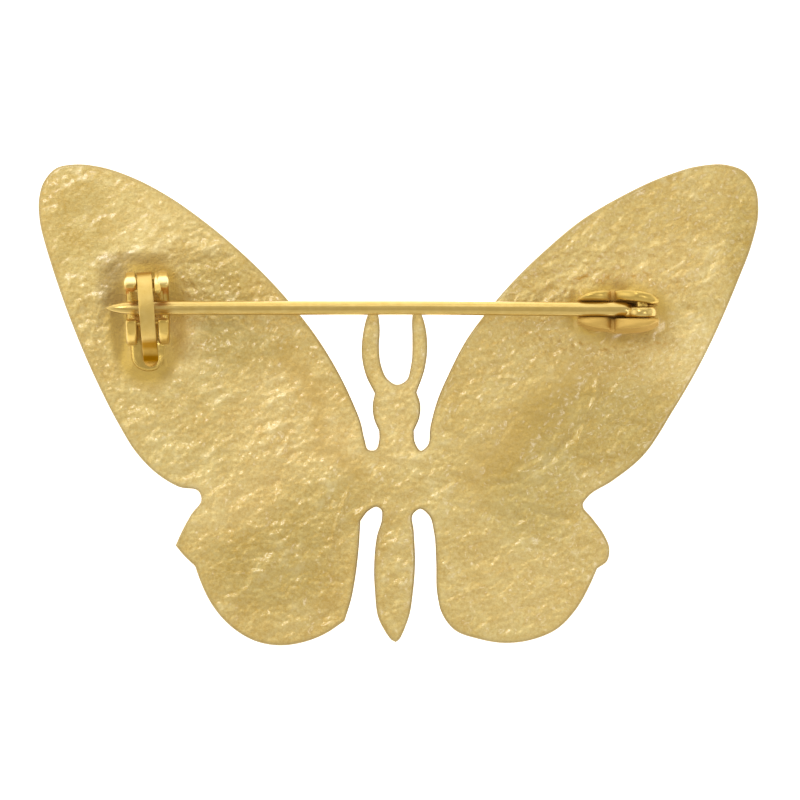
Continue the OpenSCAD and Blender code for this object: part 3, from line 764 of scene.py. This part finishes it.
share = add(swept, "ShaderNodeMath", {0: share, 1: share}, operation="MULTIPLY")
share = add(swept, "ShaderNodeMath", {0: share, 1: -4.0, 2: 1.0}, operation="MULTIPLY_ADD")
outer = add(swept, "ShaderNodeMath", {0: parts["Y"], 1: 0.0}, operation="GREATER_THAN")
rise = add(swept, "ShaderNodeMath", {0: share, 1: outer}, operation="MULTIPLY")
rise = add(swept, "ShaderNodeMath", {0: rise, 1: given["Crown"]}, operation="MULTIPLY")
rise = add(swept, "ShaderNodeCombineXYZ", {"Y": rise})
section = add(swept, "GeometryNodeSetPosition", {"Geometry": section, "Offset": rise})
size_share = add(swept, "GeometryNodeInputNamedAttribute", {"Name": "size_share"})
body = add(swept, "GeometryNodeCurveToMesh", {
    "Curve": line, "Profile Curve": section, "Scale": size_share, "Fill Caps": True})
spot = add(swept, "GeometryNodeInputPosition")
waves = add(swept, "ShaderNodeTexNoise", {"Vector": spot, "Scale": 1 / (0.8 * MM), "Detail": 2.0})
off = add(swept, "ShaderNodeMath", {0: waves, 1: 0.5}, operation="SUBTRACT")
off = add(swept, "ShaderNodeMath", {0: off, 1: given["Unevenness"]}, operation="MULTIPLY")
out = add(swept, "GeometryNodeInputNormal")
off = add(swept, "ShaderNodeVectorMath", {0: out, "Scale": off}, operation="SCALE")
body = add(swept, "GeometryNodeSetPosition", {"Geometry": body, "Offset": off})
body = add(swept, "GeometryNodeSetShadeSmooth", {"Geometry": body})
body = add(swept, "GeometryNodeRealizeInstances", {"Geometry": body})
body = add(swept, "GeometryNodeSetMaterial", {"Geometry": body, "Material": given["Metal"]})
add(swept, "NodeGroupOutput", {0: body})


def sweep(name, points, shares, **sizes):
    """Metal swept along points, with the share of the full section that it has at each one."""
    mesh = bpy.data.meshes.new(name)
    mesh.from_pydata(points, [(i, i + 1) for i in range(len(points) - 1)], [])
    mesh.attributes.new("size_share", "FLOAT", "POINT").data.foreach_set("value", shares)
    piece = bpy.data.objects.new(name, mesh)
    bpy.context.scene.collection.objects.link(piece)
    shape_by(piece, swept, swept_sockets, sizes)
    return piece


# The point is ground in a blunt curve, and the wire grows a little and leans to the near side
# towards the eye, where it is pressed narrow. Places are counted from the tip.
wire_stop = rivet_x - stem_length
from_tip = np.concatenate([
    [0.0, 0.02, 0.07, 0.16, 0.3, 0.5, 0.75, 1.05, 1.4, 1.7, 1.9, 2.1, 2.5],
    np.arange(3.2, 35.6, 0.6), np.arange(35.9, 37.3, 0.12)]) * MM
taper = np.interp(from_tip, np.array([0, 0.02, 0.07, 0.475, 1.14, 1.9, 2.3, 36.7, 37.25]) * MM,
                  [0.0, 0.07, 0.13, 0.5, 0.82, 0.98, 1.0, 1.0, 0.7])
taper *= 1 + 0.06 * np.clip((from_tip - 26 * MM) / (8 * MM), 0, 1)
near_eye = np.clip((from_tip - 36.45 * MM) / (0.75 * MM), 0, 1)
aside = -0.20 * MM * near_eye ** 2 * (3 - 2 * near_eye) - 0.08 * MM * np.clip(
    (from_tip - 22 * MM) / (12 * MM), 0, 1)
stem = sweep(
    "stem_wire", [(wire_stop + d, pin_y + a, pin_z) for d, a in zip(from_tip, aside)], taper,
    Width=wire, Thickness=wire, Corner=wire / 2, Crown=0.0, Unevenness=0.012 * MM,
    Metal=drawn_gold)

neck_stop, neck_half = -1.35 * MM, 0.26 * MM
eye_loop = soft_loop(np.vstack([
    arc((0, 0), eye_radius, -150, 150, 60), [(neck_stop, neck_half), (neck_stop, -neck_half)]]),
    0.2 * MM, 0.09 * MM)


def pressed(u, v, w):
    """Places the eye, its rim left a little round by the press."""
    off = (w - eye_near) / (eye_far - eye_near) * 2 - 1
    share = 1 - 0.12 * off ** 2
    return at_hinge(u * share, v * share, w)


eye = slab(
    "stem_eye", [eye_loop], flat_at(eye_far), flat_at(eye_near), 0.13 * MM,
    (0.12 * MM, 0.12 * MM), pressed)
eye.data.materials.append(drawn_gold)
for piece in (stem, eye):
    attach(piece, "stem")
    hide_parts("pin_stem")

rivet_stop = np.array([-1.272, -1.262, -1.23, -1.18, -1.10, 0.90, 0.98, 1.04, 1.08, 1.092]) * MM
rivet = sweep(
    "hinge_rivet_peened", [(rivet_x, pin_y + d, pin_z) for d in rivet_stop],
    [0.0, 0.45, 0.78, 0.94, 1.0, 1.0, 0.94, 0.78, 0.45, 0.0], Width=2 * rivet_radius,
    Thickness=2 * rivet_radius, Corner=rivet_radius, Crown=0.0, Unevenness=0.01 * MM,
    Metal=channel_gold)
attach(rivet, "root")
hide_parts("hinge_rivet")


# The catch.
# Soldered on the left wing: a thick foot with a round end, and a ring of two rolled strips
# bent round the pin's tip, open on top, with a short tongue beside the lock's strap.
foot_low, foot_level, foot_half = 2.15 * MM, 2.869 * MM, 1.35 * MM
foot_far, foot_near, end_middle, end_half = 1.9 * MM, -2.25 * MM, -3.33 * MM, (1.28 * MM, 1.15 * MM)
ring_radius, ring_thick, strip_wide, strip_gap = 2.62 * MM, 0.42 * MM, 0.78 * MM, 1.5 * MM
strip_corner, strip_crown, ring_line = 0.20 * MM, 0.24 * MM, ring_radius - ring_thick / 2
tongue_wide, tongue_thick, tongue_aside = 0.5 * MM, 0.34 * MM, 0.78 * MM
catch_yaw, mouth, rolled_from, rolled_by = 1.5, 20.56, 46, 66


def at_catch(yaw, aside=0.0):
    """Places a piece that is made round the pin's tip, turned a little on the wing."""
    c, s = math.cos(math.radians(yaw)), math.sin(math.radians(yaw))

    def place(u, v, w):
        return catch_x + c * (u + aside) - s * v, pin_y + s * (u + aside) + c * v, w
    return place


foot_loop = soft_loop(np.vstack([
    [(foot_half, foot_near), (foot_half, foot_far), (-foot_half, foot_far),
     (-foot_half, foot_near)],
    arc((0, 0), 1, 183, 357, 33) * end_half + (0, end_middle)]), 0.4 * MM, 0.10 * MM)


def foot_top(u, v):
    """Level round the ring, hollowed to its curve between the strips, and filed down to the
    sides and the round end beyond it."""
    beyond = np.clip((-v - 2.3 * MM) / (0.3 * MM), 0, 1)
    fall = 0.24 * MM * np.clip((np.abs(u) - 0.55 * MM) / (0.8 * MM), 0, 1)
    slope = 0.18 * MM * np.clip((-v - 3.4 * MM) / (1.1 * MM), 0, 1)
    level = foot_level - fall * beyond - slope
    ring_bed = pin_z - np.sqrt(np.maximum(ring_radius ** 2 - v ** 2, 0))
    return np.where(np.abs(u) < strip_gap / 2, np.minimum(level, ring_bed), level)


# The ring's own metal, with a painted highlight that makes it nearly white where the strips' ends
# are rolled, and inside the far half a painted orange reflection and shade, less metallic there.
ring_gold, tree, metal, hue, where = strip_copy("ring_gold")
flat = add(tree, "ShaderNodeVectorMath", {0: where, 1: (0, 1, 1)}, operation="MULTIPLY")
from_knob = add(tree, "ShaderNodeVectorMath", {
    0: flat, 1: (0, pin_y + 1.98 * MM, pin_z + 1.72 * MM)}, operation="DISTANCE").outputs["Value"]
# Painted highlight, nearly white, round the rolled ends.
knob_highlight = add(tree, "ShaderNodeMapRange", {
    "Value": from_knob, "From Min": 0.46 * MM, "From Max": 0.20 * MM})
hue = add(tree, "ShaderNodeMix", {
    "Factor": knob_highlight, 6: hue, 7: linear("#F3E2A4")}, data_type="RGBA").outputs[2]
from_pin = add(tree, "ShaderNodeVectorMath", {
    0: flat, 1: (0, pin_y, pin_z)}, operation="DISTANCE").outputs["Value"]
inside = add(tree, "ShaderNodeMapRange", {
    "Value": from_pin, "From Min": 2.40 * MM, "From Max": 2.26 * MM})
across = add(tree, "ShaderNodeSeparateXYZ", {"Vector": where}).outputs["Y"]
far_half = add(tree, "ShaderNodeMapRange", {
    "Value": across, "From Min": pin_y + 0.94 * MM, "From Max": pin_y + 1.06 * MM})
# Painted orange reflection and shade inside the far half.
painted_inner_reflection = add(tree, "ShaderNodeMath", {0: inside, 1: far_half}, operation="MULTIPLY")
hue = add(tree, "ShaderNodeMix", {
    "Factor": painted_inner_reflection, 6: hue, 7: linear("#C08226")}, data_type="RGBA").outputs[2]
bare = add(tree, "ShaderNodeMapRange", {"Value": painted_inner_reflection, "To Min": 1.0, "To Max": 0.45})
fill(tree, metal, {"Base Color": hue, "Metallic": bare, "Roughness": 0.33})

foot = slab("catch_foot", [foot_loop], foot_top, flat_at(foot_low), 0.22 * MM,
            (0.10 * MM, 0.4 * MM), at_catch(catch_yaw))
foot.data.materials.append(plated_strip)


def ring_points(radius, start, stop, aside):
    """Points round the pin's line, some 2 degrees apart, from one angle to another. 0 is
    straight up, 90 is towards the antennae."""
    angles = np.radians(np.linspace(start, stop, round(abs(stop - start) / 2)))
    return np.column_stack(at_catch(catch_yaw, aside)(
        0 * angles, radius * np.sin(angles), pin_z + radius * np.cos(angles)))


def rolled_end(radius, aside):
    """The upper end of a strip, rolled down into the ring in a tight bend."""
    start = math.radians(rolled_from)
    bend, drop = 0.13 * MM, 0.45 * MM
    turn = np.radians(np.arange(6, rolled_from + rolled_by, 6.0))
    turn = np.append(turn, turn[-1])
    run = bend * np.sin(turn) + np.append(0 * turn[1:], drop * math.cos(turn[-1]))
    fall = bend * (1 - np.cos(turn)) + np.append(0 * turn[1:], drop * math.sin(turn[-1]))
    across = (radius - fall) * math.sin(start) - run * math.cos(start)
    up = (radius - fall) * math.cos(start) + run * math.sin(start)
    return np.column_stack(at_catch(catch_yaw, aside)(0 * turn, across, pin_z + up))


def rounded_ends(points, first, last, least):
    """Shares of the section that shrink to the least within a reach of the first and last end."""
    run = np.concatenate([[0], np.cumsum(np.hypot(*np.diff(points, axis=0)[:, 1:].T))])
    near = np.clip(np.minimum(run / first, (run[-1] - run) / last), 0, 1)
    return least + (1 - least) * np.sqrt(1 - (1 - near) ** 2)


ring_pieces = [foot]
for name, side in (("catch_ring_left", -1), ("catch_ring_right", 1)):
    middle = side * (strip_gap + strip_wide) / 2
    points = ring_points(ring_line, 360 - mouth, rolled_from, middle)
    points = np.vstack([points, rolled_end(ring_line, middle)])
    shares = rounded_ends(points, 0.14 * MM, 0.20 * MM, 0.8)
    from_knob = np.hypot(*(points[:, 1:] - (pin_y + 1.95 * MM, pin_z + 1.65 * MM)).T)
    shares = shares * (1 + 0.16 * np.exp(-(from_knob / (0.45 * MM)) ** 2))
    ring_pieces.append(sweep(
        name, points, shares, Width=strip_wide, Thickness=ring_thick, Corner=strip_corner,
        Crown=strip_crown, Unevenness=0.02 * MM, Metal=ring_gold))
points = ring_points(ring_line - 0.03 * MM, 80, 25, tongue_aside)
ring_pieces.append(sweep(
    "catch_tongue", points, rounded_ends(points, 0.15 * MM, 0.3 * MM, 0.3), Width=tongue_wide,
    Thickness=tongue_thick, Corner=0.12 * MM, Crown=0.04 * MM, Unevenness=0.02 * MM,
    Metal=ring_gold))
for piece in ring_pieces:
    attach(piece, "root")
    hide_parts("butterfly")


# The lock.
# Turns in the ring: a strap over the mouth, a wider sleeve inside, and a tab for the thumb
# that bends out of the strap in a hollow curve and curls up at its lip.
strap_wide, strap_thick, strap_line = 1.08 * MM, 0.44 * MM, 2.33 * MM
sleeve_wide, sleeve_thick, sleeve_line = 2.4 * MM, 0.36 * MM, 1.93 * MM
lock_yaw, lock_aside, sheet_rim = 4.5, -0.04 * MM, 0.08 * MM

# The lock's strap keeps the matt grain of the stamped sheet. Down on the tab it is painted a deeper
# orange, a painted reflection of the gold round it, with painted shade in the brown hollow and a
# painted highlight in a paler band on either side of it.
matt_strip, tree, metal, where = new_material("matt_strip")
_, hue = cloudy(tree, where, 0.6 * MM, 3.0, "#C8A856", "#DCC27C")
parts = add(tree, "ShaderNodeSeparateXYZ", {"Vector": where}).outputs
# Painted reflection: low on the tab the colour goes to a deeper orange.
low = add(tree, "ShaderNodeMapRange", {
    "Value": parts["Z"], "From Min": pin_z + 1.3 * MM, "From Max": pin_z + 0.85 * MM})
hue = add(tree, "ShaderNodeMix", {
    "Factor": low, 6: hue, 7: linear("#A57918")}, data_type="RGBA").outputs[2]
# Painted bands across the tab: a paler highlight, painted shade in the brown hollow, and a pale
# lip.
for middle, reach, tone in (
        (-3.08, 0.34, "#BB9746"), (-3.57, 0.24, "#9C6B06"), (-4.1, 0.36, "#CDA552")):
    off = add(tree, "ShaderNodeMath", {0: parts["Y"], 1: pin_y + middle * MM}, operation="SUBTRACT")
    off = add(tree, "ShaderNodeMath", {0: off}, operation="ABSOLUTE")
    painted_band = add(tree, "ShaderNodeMapRange", {
        "Value": off, "From Min": reach * MM, "From Max": 0.1 * MM})
    hue = add(tree, "ShaderNodeMix", {
        "Factor": painted_band, 6: hue, 7: linear(tone)}, data_type="RGBA").outputs[2]
pits = add(tree, "ShaderNodeTexNoise", {
    "Vector": where, "Scale": 1 / (0.14 * MM), "Detail": 2.0, "Roughness": 0.7})
bump = add(tree, "ShaderNodeBump", {"Height": pits, "Strength": 1.0, "Distance": 0.02 * MM})
fill(tree, metal, {
    "Base Color": hue, "Metallic": 1.0, "Roughness": 0.46, "Normal": bump})


def bent_sheet(name, outline, thick, line):
    """Flat sheet bent onto a line of (y, z) points round the pin: u runs along the line."""
    length = np.concatenate([[0], np.cumsum(np.hypot(*np.diff(line, axis=0).T))])
    way = np.gradient(line, length, axis=0)
    way /= np.hypot(*way.T)[:, None]
    turn = at_catch(lock_yaw, lock_aside)

    def place(u, v, w):
        y, z, run, rise = (np.interp(u, length, values) for values in (*line.T, *way.T))
        return turn(v, y + w * rise, pin_z + z - w * run)

    loop = soft_loop(outline(length[-1]), 0.16 * MM, 0.10 * MM)
    return slab(name, [loop], flat_at(thick / 2), flat_at(-thick / 2), sheet_rim,
                (0.12 * MM, 0.16 * MM), place)


def strap_outline(long):
    half = strap_wide / 2
    return np.vstack([[(0, -half)], arc((long - half, 0), half, -90, 90, 25), [(0, half)]])


def sleeve_outline(long):
    half = sleeve_wide / 2
    return np.array([(0, -half), (long, -half), (long, half), (0, half)])


# Both run from under the pin round its far side. The strap goes on over the mouth and out into
# the tab.
tab_bend = np.array([(-2.16, 0.92), (-2.30, 0.72), (-2.62, 0.30), (-2.95, -0.06), (-3.28, -0.33),
                     (-3.60, -0.45), (-3.85, -0.43), (-4.08, -0.30)]) * MM
strap = bent_sheet("lock_strap", strap_outline, strap_thick, np.vstack([
    arc((0, 0), strap_line, -125, 151, 93), tab_bend]))
sleeve = bent_sheet("lock_sleeve", sleeve_outline, sleeve_thick,
                    arc((0, 0), sleeve_line, -125, -5, 41))
for piece, coating in ((strap, matt_strip), (sleeve, plated_strip)):
    piece.data.materials.append(coating)
    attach(piece, "lock")
    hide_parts("catch_lock")
